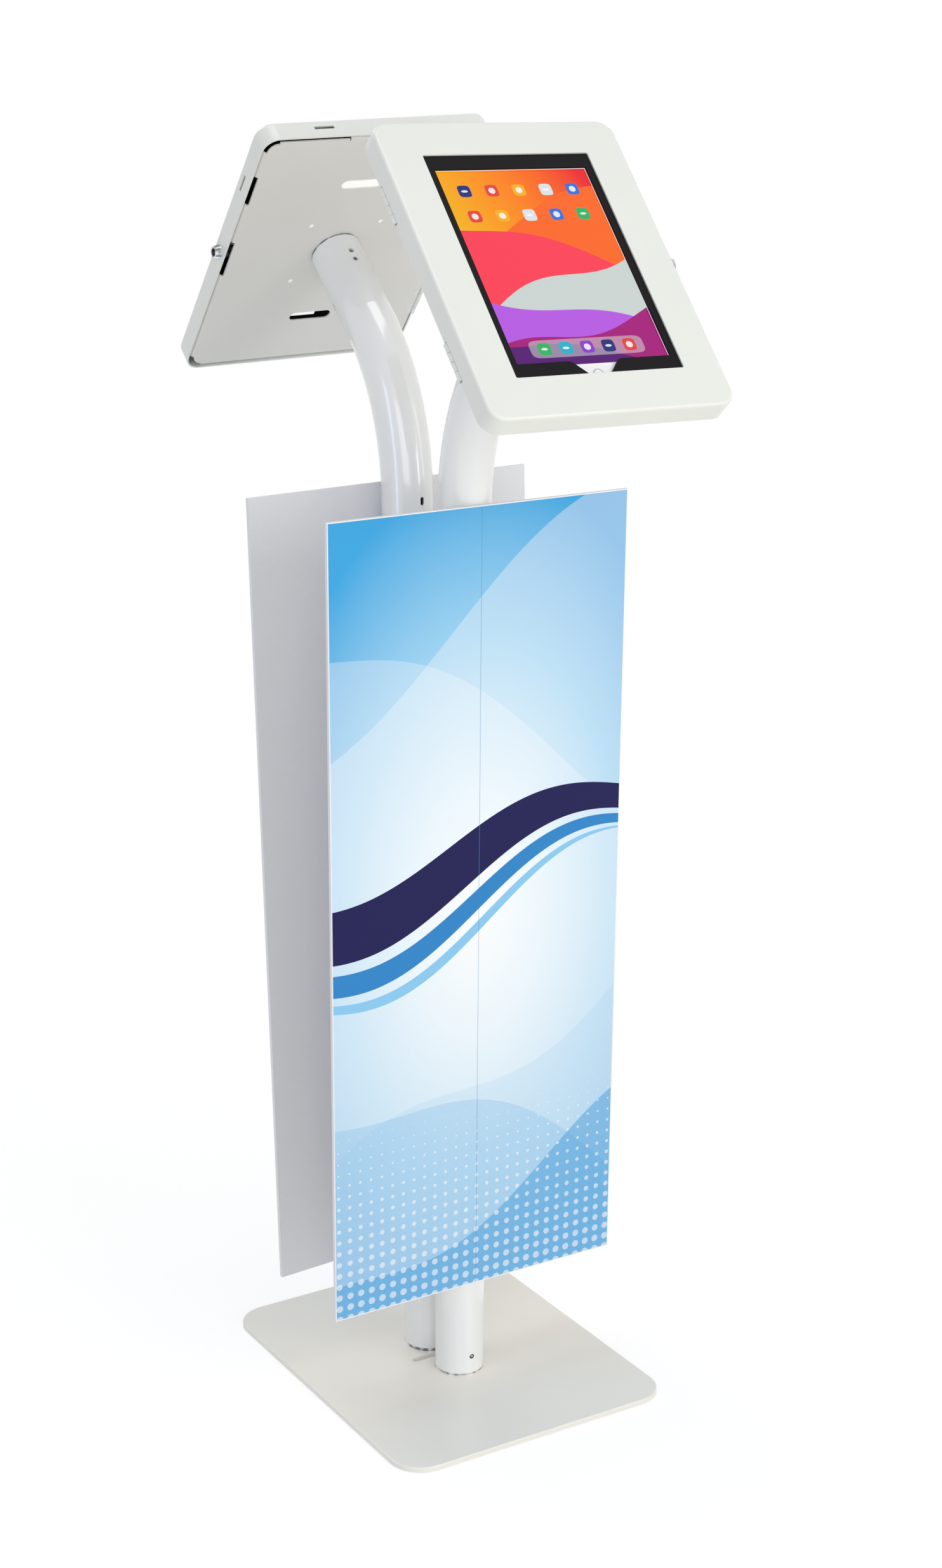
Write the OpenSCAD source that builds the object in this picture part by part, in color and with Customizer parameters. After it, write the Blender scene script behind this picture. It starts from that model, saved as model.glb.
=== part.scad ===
// Twin tablet kiosk stand: two bent columns back to back on one base plate.
// Each column carries a locking tablet head and a poster panel, and the rear side is
// the front side turned half round.
// Millimetres, +Z up, origin on the floor under the middle of the base plate.
// The front head faces -Y. Heads are drawn with X to the tablet's right, Y up its face
// and Z out of its face, with zero at the middle of the cover's front.

/* [Base plate] */
// Width of the base plate, side to side
base_w = 306; // [240:1:420]
// Depth of the base plate, front to back
base_d = 379; // [300:1:520]
// Thickness of the base plate
base_t = 5; // [4:0.5:12]
// Radius of the base plate's corners
base_corner_r = 34; // [10:1:60]
// Rounding of the base plate's upper edge
base_edge_r = 1.2; // [0.4:0.1:2.5]
// Length of the lead slot between the columns
lead_slot_l = 76; // [40:1:110]
// Width of the lead slot
lead_slot_w = 8; // [5:0.5:9]
// Diameter of the rubber pads under the plate
pad_d = 22; // [12:1:30]
// Thickness of the rubber pads
pad_t = 1; // [0.8:0.1:4]
// Distance of a pad's middle from the plate's edges
pad_inset = 36; // [24:1:60]

/* [Columns] */
// Outer diameter of the column tube
tube_d = 50; // [42:0.5:54]
// Wall of the column tube
tube_wall = 2; // [1.5:0.1:3]
// Distance between the two columns at their feet
column_spacing = 60.6; // [58:0.2:90]
// Outward lean of each column, degrees
column_lean = 1.44; // [0:0.02:4]
// Radius of the bend, on the tube's middle line
bend_r = 219; // [150:1:300]
// Angle of the bend, degrees
bend_angle = 45.7; // [30:0.1:60]
// Straight length of tube after the bend
neck_l = 84.8; // [60:0.2:140]

/* [Spigots and screws] */
// Clearance of a spigot in the tube, on the radius
spigot_fit = 0.15; // [0.05:0.01:0.3]
// Height of the bright ring under a column
foot_ring_t = 2.5; // [2:0.1:5]
// Length of a foot spigot inside the tube
foot_spigot_l = 45; // [35:1:80]
// Thickness of the bright ring between neck and back tray
neck_ring_t = 1.5; // [1:0.1:4]
// Length of a neck spigot inside the tube
neck_spigot_l = 42; // [38:1:60]
// Bore of the spigots, for the lead
spigot_bore_d = 20; // [12:0.5:24]
// Circle of the screws that hold a spigot
spigot_screw_pcd = 32; // [31:0.5:35]
// Thread diameter of the base screws
foot_screw_d = 6; // [4:0.5:7]
// Thread diameter of the neck screws
neck_screw_d = 5; // [4:0.5:6]
// How deep the spigot screws reach into a spigot
screw_reach = 12; // [8:0.5:18]
// Thread diameter of the set screws
grub_d = 5; // [4:0.5:8]
// Length of the set screws
grub_l = 8; // [6:0.5:12]
// Depth of a set screw's socket
grub_socket = 2.2; // [1.5:0.1:4]
// Height of a foot's set screw above the plate
foot_grub_h = 21; // [14:0.5:30]
// Distance of the first neck set screw from the back tray
neck_grub_h = 22; // [14:0.5:24]
// Spacing of the two neck set screws
neck_grub_pitch = 10.8; // [9:0.2:12]
// Clearance of a screw in its hole, on the radius
screw_fit = 0.1; // [0.05:0.01:0.3]

/* [Poster panels] */
// Width of a poster panel
panel_w = 321; // [200:1:420]
// Height of a poster panel
panel_h = 793; // [500:1:900]
// Thickness of the board
panel_t = 3.7; // [3:0.1:8]
// Thickness of the printed sheet on the board
poster_t = 0.3; // [0.1:0.05:0.6]
// Height of the panel's lower edge up the column
panel_rise = 109; // [60:1:160]
// How far a column runs straight past the panel's upper edge before it bends
column_over = -6; // [-10:1:80]
// Gap between the column and the back of the board
panel_gap = 2.1; // [1.5:0.1:8]
// Turn of the front panel about its column, degrees
front_panel_turn = 0; // [-8:0.1:8]
// Turn of the rear panel about its column, degrees
rear_panel_turn = 4.6; // [-8:0.1:8]
// Width of a saddle between column and board
saddle_w = 20; // [16:1:44]
// Length of a saddle along the column
saddle_l = 26; // [16:1:28]
// Distance of the fixing screws from the board's upper and lower edges
panel_fix_inset = 14; // [14:0.5:60]
// Thread diameter of the panel screws
panel_screw_d = 5; // [3:0.5:6]
// How deep the panel screws reach into the board
panel_screw_reach = 2.4; // [1.5:0.1:2.8]
// Width of the key slot in the column behind each panel screw
key_slot_w = 4; // [3:0.5:6]
// Height of the key slot
key_slot_h = 8; // [6.5:0.5:14]

/* [Tablet] */
// Width of the lit screen
screen_w = 155.4; // [120:0.1:200]
// Height of the lit screen
screen_h = 207.2; // [160:0.1:270]
// White border beside the screen
side_bezel = 9.35; // [6:0.05:16]
// White border above and below the screen
end_bezel = 21.7; // [18:0.1:28]
// Thickness of the tablet
tablet_t = 7.5; // [7:0.1:9]
// Radius of the tablet's corners
tablet_corner_r = 10; // [6:0.5:16]
// Rounding of the tablet's back edges
tablet_edge_r = 2.2; // [1:0.1:2.4]
// Thickness of the front glass
glass_t = 0.7; // [0.5:0.05:1]
// Diameter of the home button
home_d = 10.7; // [8:0.1:14]
// Travel of the home button
home_travel = 0.35; // [0.2:0.05:0.6]
// Length of a side button
key_l = 9; // [7:0.2:9.5]
// Width of a side button
key_w = 2.2; // [1.6:0.1:2.6]
// How far a side button stands out
key_out = 0.6; // [0.4:0.05:0.9]
// Travel of a side button
key_travel = 0.4; // [0.2:0.05:0.5]
// Clearance round a button
key_fit = 0.15; // [0.1:0.05:0.3]
// Distance of the power button's middle from the tablet's right side
power_from_side = 30.6; // [26:0.1:40]
// Distance between the volume buttons' middle and the tablet's top
volume_from_top = 38.3; // [34:0.1:50]

/* [Head] */
// How far the mask laps over the screen
mask_lap = 2; // [0.5:0.1:4]
// Width of the black mask seen at the sides
mask_side_band = 7.05; // [4:0.05:12]
// Width of the black mask seen at the top and bottom
mask_end_band = 14.4; // [10:0.1:18]
// Radius of the shoulders of the mask's notch
notch_shoulder_r = 9; // [4:0.5:12]
// How far the mask runs on under the cover
mask_tuck = 24; // [10:1:30]
// Thickness of the mask
mask_t = 2; // [1:0.1:3]
// Width of the white cover beside the window
cover_side_band = 38.2; // [34:0.1:60]
// Width of the white cover above and below the window
cover_end_band = 38; // [34:0.1:60]
// Depth of the cover from front to rear rim
cover_depth = 21; // [20:0.1:32]
// Sheet thickness of the cover
cover_wall = 1.5; // [1:0.1:2.2]
// Radius of the cover's corners
cover_corner_r = 16; // [12:0.5:32]
// Rounding of the cover's front edge
cover_edge_r = 3; // [2.4:0.1:4.5]
// Radius of the window's corners
window_r = 1.5; // [0.5:0.1:4]
// Height of the window's middle above the cover's middle
window_rise = 2; // [-6:0.1:6]
// Length of the power button's slot in the cover's top wall
power_slot_l = 20.4; // [14:0.2:26]
// Width of the power button's slot
power_slot_w = 3.5; // [2.5:0.1:5]
// Length of the volume buttons' slot in the cover's right wall
volume_slot_l = 18.5; // [14:0.1:24]
// Width of the volume buttons' slot
volume_slot_w = 3; // [2.5:0.1:5]
// Clearance between cover and mask
mask_fit = 0.1; // [0.05:0.05:0.3]
// Clearance between mask and tablet glass
tablet_fit = 0.3; // [0.2:0.05:0.6]
// Turn of each head on its neck, degrees
head_turn = -1.4; // [-6:0.1:6]

/* [Back tray] */
// Sheet thickness of the back tray
tray_t = 1.5; // [1:0.1:2.2]
// Gap between the cover's walls and the tray's walls
tray_gap = 1.5; // [1.2:0.1:2.5]
// Outer radius of the tray's folds
tray_fold_r = 4; // [2.6:0.1:6]
// Height of the tray's folded walls
tray_wall_h = 14; // [8:0.5:15]
// Radius of the tray's corners
tray_corner_r = 10; // [6:0.5:20]
// Pitch of the square of four spare fixing holes
fix_pitch = 75; // [60:1:100]
// Diameter of the spare fixing holes
fix_hole_d = 5.2; // [4:0.1:6.5]
// Length of the two lead openings in the tray
tray_slot_l = 45; // [30:1:60]
// Width of the two lead openings in the tray
tray_slot_w = 11; // [8:0.5:14]
// Distance of the lead openings from the tray's middle
tray_slot_y = 90; // [75:1:96]
// Length of the notch beside the lock
lock_notch_l = 44.4; // [36:0.2:60]
// Length of the notch beside the volume buttons
volume_notch_l = 35; // [28:0.5:44]
// Length of the corner notch beside the power button
power_notch_l = 50.4; // [40:0.2:60]
// How far the tray's floor runs out beside the power button
tray_lip = 2.4; // [0.5:0.1:3]
// Length of the lead gap in the cradle
lead_gap_l = 60; // [40:1:80]
// Width of the lead gap in the cradle
lead_gap_w = 26; // [12:1:28]
// Length of the wider end of the lead gap
plug_gap_l = 25; // [12:1:28]
// How much wider the lead gap is at that end
plug_gap_w = 10; // [4:1:16]
// Wall of the tablet cradle
cradle_wall = 4; // [2.5:0.1:6]
// Clearance of the tablet in the cradle
cradle_fit = 0.3; // [0.2:0.05:0.8]
// How far the cradle's ribs stand beyond the spare holes
cradle_rib_out = 12; // [8:0.5:20]
// Thickness of the cradle's floor, which lies on the tray
cradle_floor = 2; // [1.5:0.1:3]

/* [Hinges] */
// Length of a hinge
hinge_l = 38; // [30:1:60]
// Distance of the hinges from the middle
hinge_y = 81; // [60:1:100]
// Diameter of the hinge knuckles
knuckle_d = 4.4; // [3.8:0.1:6.5]
// Diameter of the hinge pins
pin_d = 2.2; // [1.6:0.1:2.6]
// Clearance of the pin in the moving knuckles, on the radius
pin_fit = 0.05; // [0.02:0.01:0.1]
// Sheet thickness of a hinge leaf
leaf_t = 1.2; // [0.8:0.1:1.6]
// Width of a hinge leaf
leaf_w = 12; // [9:0.5:13]
// Running gap between knuckles and round the hinge
hinge_run = 0.4; // [0.3:0.05:0.6]
// Diameter of the hinge rivets
rivet_d = 3; // [2:0.1:3.6]
// Spacing of the two rivets of a hinge
rivet_pitch = 27; // [18:0.5:28]

/* [Lock] */
// Diameter of the lock barrel through the cover
barrel_d = 11; // [9:0.5:12]
// Length of the barrel inside the cover's wall
barrel_l = 10; // [8:0.5:12]
// Diameter of the lock's bright collar at the wall
collar_d = 14.4; // [13:0.2:16]
// Diameter of the collar at its face
collar_face_d = 11.4; // [10:0.2:12.4]
// How far the collar stands out
collar_h = 5.5; // [3:0.1:8]
// Diameter of the turning lock plug
plug_d = 8; // [6:0.2:8.4]
// Clearance of the plug in the barrel, on the radius
plug_fit = 0.05; // [0.02:0.01:0.1]
// Depth of the key ring in the plug's face
key_ring_depth = 4; // [2:0.2:5]
// Width of the nut across its flats
lock_nut_af = 13; // [12.6:0.2:14]
// Thickness of the nut
lock_nut_t = 3; // [2:0.2:5]
// Thickness of the lock cam
cam_t = 1.5; // [1:0.1:2]
// Width of the lock cam
cam_w = 6; // [4.6:0.2:6.4]
// Clearance of the cam under its keeper and over the tray
cam_clear = 0.8; // [0.4:0.1:1.2]

/* [Hidden] */
$fn = 64;
eps = 0.01;
weld = 0.02;
far = 1500;

front = 0;
rear = 1;
sides = [front, rear];

// Finishes
powder_white = "#e6e8e3";
bright_steel = "#b9bcc0";
dark_steel = "#5b5d60";
rubber_black = "#222222";
mask_black = "#2b292b";
board_white = "#eeefec";
print_blue = "#6fb4e4";
moulded_white = "#f1f1ee";
aluminium = "#c9cbce";
glass_white = "#f7f7f8";
screen_violet = "#a05fc0";

// Column and spigots
plate_top = pad_t + base_t;
column_h = panel_rise + panel_h + column_over;
tube_r = tube_d / 2;
tube_ir = tube_r - tube_wall;
spigot_r = tube_ir - spigot_fit;
foot_screw_head_d = 1.9 * foot_screw_d;
foot_screw_head_h = 0.55 * foot_screw_d;
neck_screw_head_d = 1.9 * neck_screw_d;
neck_screw_head_h = 0.55 * neck_screw_d;
panel_screw_head_d = 1.8 * panel_screw_d;
panel_screw_head_h = 0.6 * panel_screw_d;
screw_count = 3;
// How far each neck set screw is sunk below the tube's skin
neck_grub_sink = [2.4, 0.3];
foot_grub_sink = 0.3;

// Panel places, measured out from the column's middle line
panel_back = tube_r + panel_gap;
panel_fix_z = [panel_rise + panel_fix_inset, panel_rise + panel_h - panel_fix_inset];
saddle_fit = 0.1;
saddle_wrap = 4;
// A flat screw head inside the round tube touches at its rim
panel_head_seat = sqrt(pow(tube_ir, 2) - pow(panel_screw_head_d / 2, 2)) - 0.1;

// Sizes of the head, worked out from the screen outwards
tablet_w = screen_w + 2 * side_bezel;
tablet_h = screen_h + 2 * end_bezel;
mask_open_w = screen_w - 2 * mask_lap;
mask_open_h = screen_h - 2 * mask_lap;
window_w = mask_open_w + 2 * mask_side_band;
window_h = mask_open_h + 2 * mask_end_band;
cover_w = window_w + 2 * cover_side_band;
cover_h = window_h + 2 * cover_end_band;
cover_half = cover_w / 2;

// Levels behind the cover's front face
mask_z = -(cover_wall + mask_fit + mask_t);
glass_z = mask_z - tablet_fit;
case_z = glass_z - glass_t;
tablet_back_z = glass_z - tablet_t;
tray_back_z = -cover_depth;
tray_floor_z = tray_back_z + tray_t;

// Buttons of the tablet
home_y = window_rise - screen_h / 2 - end_bezel / 2;
home_cap_t = 1.1;
notch_r = 1.1 * home_d;
notch_top_x = 2 * notch_r;
notch_top = window_rise - mask_open_h / 2;
notch_slope = atan2(notch_top - home_y, notch_top_x - notch_r);
shoulder_run = notch_shoulder_r * tan(notch_slope / 2);
shoulder_lap = 0.3;
key_z = (case_z + tablet_back_z) / 2;
key_root = 1.4;
key_gap = 1;
power_x = tablet_w / 2 - power_from_side;
volume_y = window_rise + tablet_h / 2 - volume_from_top;
port_w = 9;
port_h = 3;
port_depth = 5;

// Level of the button slots in the cover's walls
access_z = -cover_depth * 0.45;

// Back tray: flat floor, folded walls on the top, the bottom and the lock side
hinge_x = -(cover_half - cover_wall - leaf_t + knuckle_d / 2);
hinge_z = tray_floor_z + leaf_t - knuckle_d / 2;
tray_lock_x = cover_half - cover_wall - tray_gap;
tray_top_y = cover_h / 2 - cover_wall - tray_gap;
floor_left = hinge_x + knuckle_d / 2 + hinge_run;
floor_right = tray_lock_x - tray_fold_r;
floor_half_h = tray_top_y - tray_fold_r;
lead_hole_d = spigot_bore_d + 2;
lip_from = power_x - power_notch_l / 2 + tray_t;

// Hinges
knuckles = 4;
pin_over = 0.5;
knuckle_l = hinge_l / knuckles;
hinge_notch_l = hinge_l + 2 * (pin_over + hinge_run);
rivet_x = floor_left + rivet_d + 0.6;
rivet_head_d = 1.6 * rivet_d;
rivet_head_t = 0.5;

// Lock
lock_z = -cover_depth * 0.49;
wall_in = cover_half - cover_wall;
barrel_end = wall_in - barrel_l;
cam_x = barrel_end - 3.1;
cam_tail_d = 0.6 * plug_d;
cam_reach = lock_z - tray_floor_z - cam_clear;
cam_tip = sqrt(pow(cam_reach, 2) - pow(cam_w / 2, 2));
keeper_t = 1.5;
keeper_in = 4.5;
keeper_lip_z = lock_z + cam_w / 2 + cam_clear / 2;
keeper_x = [cam_x - 2.4, barrel_end - 1.3];
keeper_y = cam_reach + 1;

// Cradle
cradle_w = tablet_w + 2 * (cradle_fit + cradle_wall);
cradle_h = tablet_h + 2 * (cradle_fit + cradle_wall);
cradle_rim_z = glass_z - 1.5;
cradle_seat_z = tablet_back_z - 0.1;
cradle_rib = 4;
cradle_rib_y = fix_pitch / 2 + cradle_rib_out;
cradle_rib_gap = 10;
cradle_hole_d = spigot_screw_pcd + neck_screw_head_d + 2;
hollow_w = tablet_w - 2 * cradle_wall;
hollow_h = tablet_h - 2 * cradle_wall;
lead_gap_top = -tray_slot_y;

// Places
module on_column(side)
    rotate([0, 0, 180 * side])
        translate([0, -column_spacing / 2, plate_top])
            rotate([column_lean, 0, 0])
                children();

module on_panel(side)
    on_column(side)
        rotate([0, 0, side == front ? front_panel_turn : rear_panel_turn])
            children();

module in_tube_end()
    translate([0, -bend_r, column_h])
        rotate([bend_angle, 0, 0])
            translate([0, bend_r, neck_l])
                rotate([0, 0, head_turn])
                    children();

module on_head(side)
    on_column(side)
        in_tube_end()
            translate([0, 0, neck_ring_t + cover_depth])
                children();

// Shapes that repeat
module outline(w, h, r) {
    square([w - 2 * r, h], center = true);
    square([w, h - 2 * r], center = true);
    for (x = [-1, 1], y = [-1, 1])
        translate([x * (w / 2 - r), y * (h / 2 - r)])
            circle(r);
}

module stadium(l, w) {
    square([l - w, w], center = true);
    for (x = [-1, 1])
        translate([x * (l - w) / 2, 0])
            circle(d = w);
}

module edge_profile(corner, edge) {
    square([corner - edge, edge]);
    translate([corner - edge, 0])
        intersection() {
            circle(edge);
            square(edge);
        }
}

// A slab whose top face is at zero and whose top edge is rounded
module soft_slab(w, h, t, corner, edge) {
    translate([0, 0, -t])
        linear_extrude(t - edge)
            outline(w, h, corner);
    translate([0, 0, -edge]) {
        linear_extrude(edge)
            square([w - 2 * corner, h - 2 * corner], center = true);
        for (quarter = [0 : 3]) {
            x = (quarter % 2 == 0 ? w : h) / 2 - corner;
            y = (quarter % 2 == 0 ? h : w) / 2 - corner;
            rotate([0, 0, 90 * quarter])
                translate([x, y, 0]) {
                    rotate_extrude(angle = 90)
                        edge_profile(corner, edge);
                    rotate([90, 0, 0])
                        linear_extrude(2 * y)
                            edge_profile(corner, edge);
                }
        }
    }
}

// A rod along the column's middle line, over_foot and over_neck longer at its ends.
// Its neck starts a hair inside the bend, so that the two are one piece.
module bent_rod(r, over_foot, over_neck) {
    translate([0, 0, foot_ring_t - over_foot])
        cylinder(r = r, h = column_h - foot_ring_t + over_foot);
    translate([0, -bend_r, column_h]) {
        rotate([90, 0, 90])
            rotate_extrude(angle = bend_angle)
                translate([bend_r, 0])
                    circle(r);
        rotate([bend_angle, 0, 0])
            translate([0, bend_r, -weld])
                cylinder(r = r, h = neck_l + over_neck + weld);
    }
}

// A set screw pointing out along -Y, with its outer end at reach
module grub_screw(reach) {
    rotate([90, 0, 0])
        translate([0, 0, reach - grub_l])
            difference() {
                cylinder(d = grub_d, h = grub_l);
                translate([0, 0, grub_l - grub_socket])
                    cylinder(d = grub_d / 2, h = grub_l, $fn = 6);
            }
}

module grub_hole()
    rotate([90, 0, 0])
        cylinder(d = grub_d + 2 * screw_fit, h = tube_d);

module spigot_screw_places()
    for (i = [0 : screw_count - 1])
        rotate([0, 0, 90 + i * 360 / screw_count])
            translate([spigot_screw_pcd / 2, 0, 0])
                children();

module foot_screw_places()
    for (side = sides)
        rotate([0, 0, 180 * side])
            translate([0, -column_spacing / 2, pad_t])
                spigot_screw_places()
                    children();

// The neck's set screws lie above the tube, towards the tablet's top
module neck_grub_places()
    for (i = [0, 1])
        translate([0, 0, tray_back_z - neck_grub_h - i * neck_grub_pitch])
            rotate([0, 0, 180])
                children(i);

// Base
module base_plate()
    color(powder_white)
        difference() {
            translate([0, 0, plate_top])
                soft_slab(base_w, base_d, base_t, base_corner_r, base_edge_r);
            linear_extrude(far)
                stadium(lead_slot_l, lead_slot_w);
            foot_screw_places() {
                translate([0, 0, -eps])
                    cylinder(d = foot_screw_d + 2 * screw_fit, h = far);
                translate([0, 0, -eps])
                    cylinder(d1 = foot_screw_head_d + 2 * screw_fit + 2 * eps,
                             d2 = foot_screw_d + 2 * screw_fit, h = foot_screw_head_h + eps);
            }
        }

module base_pads()
    color(rubber_black)
        for (x = [-1, 1], y = [-1, 0, 1])
            translate([x * (base_w / 2 - pad_inset), y * (base_d / 2 - pad_inset), 0])
                cylinder(d = pad_d, h = pad_t);

module foot_spigots()
    color(bright_steel)
        difference() {
            for (side = sides)
                on_column(side) {
                    translate([0, 0, -foot_ring_t])
                        cylinder(r = tube_r, h = 2 * foot_ring_t);
                    cylinder(r = spigot_r, h = foot_ring_t + foot_spigot_l);
                }
            for (side = sides)
                on_column(side) {
                    translate([0, 0, -foot_ring_t - eps])
                        cylinder(d = spigot_bore_d, h = far);
                    translate([0, 0, foot_grub_h])
                        grub_hole();
                }
            foot_screw_places()
                cylinder(d = foot_screw_d + 2 * screw_fit, h = base_t + screw_reach + 1);
            translate([-far / 2, -far / 2, plate_top - far])
                cube(far);
        }

module foot_screws()
    color(dark_steel)
        foot_screw_places()
            difference() {
                union() {
                    cylinder(d = foot_screw_d, h = base_t + screw_reach);
                    cylinder(d1 = foot_screw_head_d, d2 = foot_screw_d, h = foot_screw_head_h);
                }
                translate([0, 0, -eps])
                    cylinder(d = foot_screw_d * 0.7, h = foot_screw_head_h * 0.8, $fn = 6);
            }

module foot_set_screws()
    color(dark_steel)
        for (side = sides)
            on_column(side)
                translate([0, 0, foot_grub_h])
                    grub_screw(tube_r - foot_grub_sink);

// Column
module column(side)
    color(powder_white)
        on_column(side)
            difference() {
                bent_rod(tube_r, 0, 0);
                bent_rod(tube_ir, foot_ring_t, foot_ring_t);
                translate([0, 0, foot_grub_h])
                    grub_hole();
                in_tube_end()
                    translate([0, 0, neck_ring_t + cover_depth])
                        neck_grub_places() {
                            grub_hole();
                            grub_hole();
                        }
                rotate([0, 0, side == front ? front_panel_turn : rear_panel_turn])
                    for (z = panel_fix_z)
                        translate([0, 0, z]) {
                            rotate([90, 0, 0])
                                cylinder(d = panel_screw_d + 4 * screw_fit, h = tube_d);
                            rotate([-90, 90, 0])
                                linear_extrude(tube_d)
                                    stadium(key_slot_h, key_slot_w);
                        }
            }

// Poster panel and what holds it
module panel(side)
    color(board_white)
        on_panel(side)
            difference() {
                translate([-panel_w / 2, -panel_back - panel_t, panel_rise])
                    cube([panel_w, panel_t, panel_h]);
                for (z = panel_fix_z)
                    translate([0, -panel_back + eps, z])
                        rotate([90, 0, 0])
                            cylinder(d = panel_screw_d + screw_fit, h = panel_screw_reach + 0.3);
            }

module poster(side)
    color(print_blue)
        on_panel(side)
            translate([-panel_w / 2, -panel_back - panel_t - poster_t, panel_rise])
                cube([panel_w, poster_t, panel_h]);

module panel_saddles()
    color(moulded_white)
        for (side = sides, z = panel_fix_z)
            on_panel(side)
                difference() {
                    translate([-saddle_w / 2, -panel_back, z - saddle_l / 2])
                        cube([saddle_w, panel_gap + saddle_wrap, saddle_l]);
                    bent_rod(tube_r + saddle_fit, 0, 0);
                    translate([0, 0, z])
                        rotate([90, 0, 0])
                            cylinder(d = panel_screw_d + 2 * screw_fit, h = far);
                }

module panel_screws()
    color(dark_steel)
        for (side = sides, z = panel_fix_z)
            on_panel(side)
                translate([0, -panel_head_seat, z])
                    rotate([90, 0, 0]) {
                        cylinder(d = panel_screw_d, h = panel_back + panel_screw_reach - panel_head_seat);
                        translate([0, 0, -panel_screw_head_h])
                            difference() {
                                cylinder(d = panel_screw_head_d, h = panel_screw_head_h);
                                translate([0, 0, -eps])
                                    cylinder(d = panel_screw_d * 0.7, h = panel_screw_head_h / 2, $fn = 6);
                            }
                    }

// Neck: spigot, its screws and set screws
module neck_spigot()
    color(bright_steel)
        difference() {
            union() {
                translate([0, 0, tray_back_z - neck_ring_t])
                    cylinder(r = tube_r, h = neck_ring_t);
                translate([0, 0, tray_back_z - neck_ring_t - neck_spigot_l])
                    cylinder(r = spigot_r, h = neck_spigot_l);
            }
            translate([0, 0, -far / 2])
                cylinder(d = spigot_bore_d, h = far);
            neck_grub_places() {
                grub_hole();
                grub_hole();
            }
            translate([0, 0, tray_back_z - screw_reach - 1])
                spigot_screw_places()
                    cylinder(d = neck_screw_d + 2 * screw_fit, h = far);
        }

module neck_screws()
    color(dark_steel)
        spigot_screw_places() {
            translate([0, 0, tray_back_z - screw_reach])
                cylinder(d = neck_screw_d, h = screw_reach + tray_t);
            translate([0, 0, tray_floor_z])
                difference() {
                    cylinder(d = neck_screw_head_d, h = neck_screw_head_h);
                    translate([0, 0, neck_screw_head_h / 2])
                        cylinder(d = neck_screw_d * 0.7, h = neck_screw_head_h, $fn = 6);
                }
        }

module neck_set_screws()
    color(dark_steel)
        neck_grub_places() {
            grub_screw(tube_r - neck_grub_sink[0]);
            grub_screw(tube_r - neck_grub_sink[1]);
        }

// Back tray
module fold(length) {
    rotate([0, 0, 90])
        rotate([90, 0, 0])
            translate([0, 0, -length / 2])
                linear_extrude(length) {
                    translate([0, tray_fold_r])
                        intersection() {
                            difference() {
                                circle(tray_fold_r);
                                circle(tray_fold_r - tray_t);
                            }
                            translate([0, -tray_fold_r])
                                square(tray_fold_r);
                        }
                    translate([tray_fold_r - tray_t, tray_fold_r])
                        square([tray_t, tray_wall_h - tray_fold_r]);
                }
}

// A folded wall between two points of a tray side: turn 0 is the lock side
module folded_wall(turn, out, from, to)
    rotate([0, 0, turn])
        translate([out, (from + to) / 2, tray_back_z])
            rotate([0, 0, -90])
                fold(to - from);

module lock_keeper() {
    depth = keeper_x[1] - keeper_x[0];
    translate([keeper_x[0], keeper_y, tray_floor_z - eps])
        cube([depth, keeper_t, keeper_lip_z + keeper_t - tray_floor_z + eps]);
    translate([keeper_x[0], keeper_in, keeper_lip_z])
        cube([depth, keeper_y + keeper_t - keeper_in, keeper_t]);
}

module back_tray()
    color(powder_white)
        difference() {
            union() {
                translate([(floor_left + floor_right) / 2, 0, tray_back_z])
                    linear_extrude(tray_t)
                        union() {
                            outline(floor_right - floor_left, 2 * floor_half_h, tray_corner_r);
                            translate([-(floor_right - floor_left) / 2, -hinge_y - hinge_l / 2])
                                square([leaf_w, 2 * hinge_y + hinge_l]);
                        }
                side_end = floor_half_h - tray_corner_r;
                folded_wall(0, floor_right, -side_end, -lock_notch_l / 2);
                folded_wall(0, floor_right, lock_notch_l / 2, volume_y - volume_notch_l / 2);
                folded_wall(0, floor_right, volume_y + volume_notch_l / 2, side_end);
                folded_wall(90, floor_half_h, -(power_x - power_notch_l / 2), -(floor_left + tray_corner_r));
                folded_wall(-90, floor_half_h, floor_left + tray_corner_r, floor_right - tray_corner_r);
                lock_keeper();
                // Lip where the wall is left out beside the power button
                translate([lip_from, floor_half_h - eps, tray_back_z])
                    cube([floor_right - tray_corner_r - lip_from, tray_lip + eps, tray_t]);
            }
            for (x = [-1, 1], y = [-1, 1])
                translate([x * fix_pitch / 2, y * fix_pitch / 2, tray_back_z - 1])
                    cylinder(d = fix_hole_d, h = tray_t + 2);
            for (y = [-1, 1])
                translate([0, y * tray_slot_y, tray_back_z - 1])
                    linear_extrude(tray_t + 2)
                        stadium(tray_slot_l, tray_slot_w);
            translate([0, 0, tray_back_z - 1])
                cylinder(d = lead_hole_d, h = tray_t + 2);
            translate([0, 0, tray_back_z - 1])
                spigot_screw_places()
                    cylinder(d = neck_screw_d + 2 * screw_fit, h = tray_t + 2);
            hinge_rivet_places()
                translate([0, 0, tray_back_z - 1])
                    cylinder(d = rivet_d + screw_fit, h = tray_t + 2);
        }

// Hinges
module hinge_places()
    for (y = [-1, 1])
        translate([0, y * hinge_y, 0])
            children();

module hinge_rivet_places()
    hinge_places()
        for (y = [-1, 1])
            translate([rivet_x, y * rivet_pitch / 2, 0])
                children();

// Knuckles with their fingers: first 0 takes the lower end, first 1 the next one up
module knuckle_row(first) {
    for (i = [first : 2 : knuckles - 1])
        translate([0, -hinge_l / 2 + i * knuckle_l + hinge_run / 2, 0])
            children();
}

module knuckle()
    translate([hinge_x, 0, hinge_z])
        rotate([-90, 0, 0])
            cylinder(d = knuckle_d, h = knuckle_l - hinge_run);

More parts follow.
